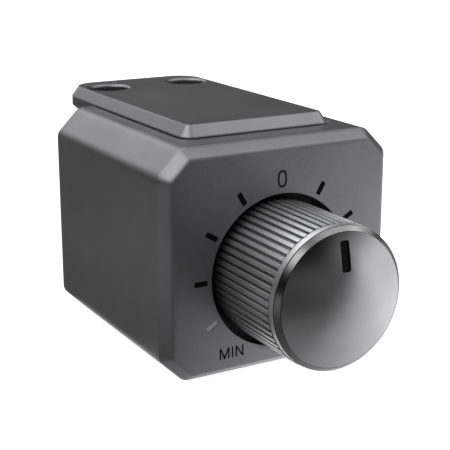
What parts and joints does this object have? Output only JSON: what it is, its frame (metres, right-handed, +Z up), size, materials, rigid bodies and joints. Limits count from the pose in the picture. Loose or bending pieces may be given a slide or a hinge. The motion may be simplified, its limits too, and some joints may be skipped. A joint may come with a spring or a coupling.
{
  "type": "remote level control",
  "caption": "Small eight-sided case with a knurled front knob over an engraved scale, a cable socket behind, and a screw-on plate let into its roof.",
  "frame": {"origin": "centre of the case's flat underside", "axes": "+X to the right of the scale, +Y from the knob to the rear, +Z up through the plate on the roof"},
  "size_m": [0.04, 0.071, 0.0377],
  "materials": {
    "case_plastic": "satin charcoal with a fine moulded grain",
    "plate_plastic": "satin charcoal with a fine moulded grain",
    "screw_steel": "black zinc",
    "board_laminate": "green solder mask",
    "socket_plastic": "black moulded",
    "contact_brass": "plated",
    "capacitor_sleeve": "shrink sleeve",
    "chip_black": "glazed",
    "zinc_plate": "zinc plated",
    "nickel_plate": "nickel plated",
    "wafer_laminate": "phenolic laminate",
    "shaft_steel": "turned",
    "knob_sleeve": "dark grey anodised, knurled",
    "knob_disc": "turned and anodised grey",
    "pointer_black": "black filled"
  },
  "bodies": {
    "case": {"housing": "case_plastic", "rear_cover": "case_plastic", "cover_screws": "screw_steel", "mounting_bracket": "plate_plastic", "bracket_screws": "screw_steel", "circuit_board": "board_laminate", "cable_socket": "socket_plastic", "socket_contacts": "contact_brass", "board_capacitors": "capacitor_sleeve", "board_resistors": "chip_black", "potentiometer_bush": "zinc_plate", "bush_nut": "nickel_plate", "lock_washer": "nickel_plate", "resistor_wafer": "wafer_laminate", "wafer_terminals": "contact_brass", "potentiometer_case": "zinc_plate"},
    "turning_knob": {"knob": "knob_sleeve", "knob_cap": "knob_disc", "pointer_inlay": "pointer_black", "knob_spring": "shaft_steel", "shaft": "shaft_steel", "shaft_clip": "shaft_steel", "wiper_carrier": "socket_plastic", "wiper_spring": "contact_brass"}
  },
  "joints": [
    {"name": "knob_turn", "type": "hinge", "parent": "case", "child": "turning_knob", "pos_m": [0, -0.0197, 0.0155], "axis": [0, 1, 0], "range_deg": [-150, 150]}
  ]
}
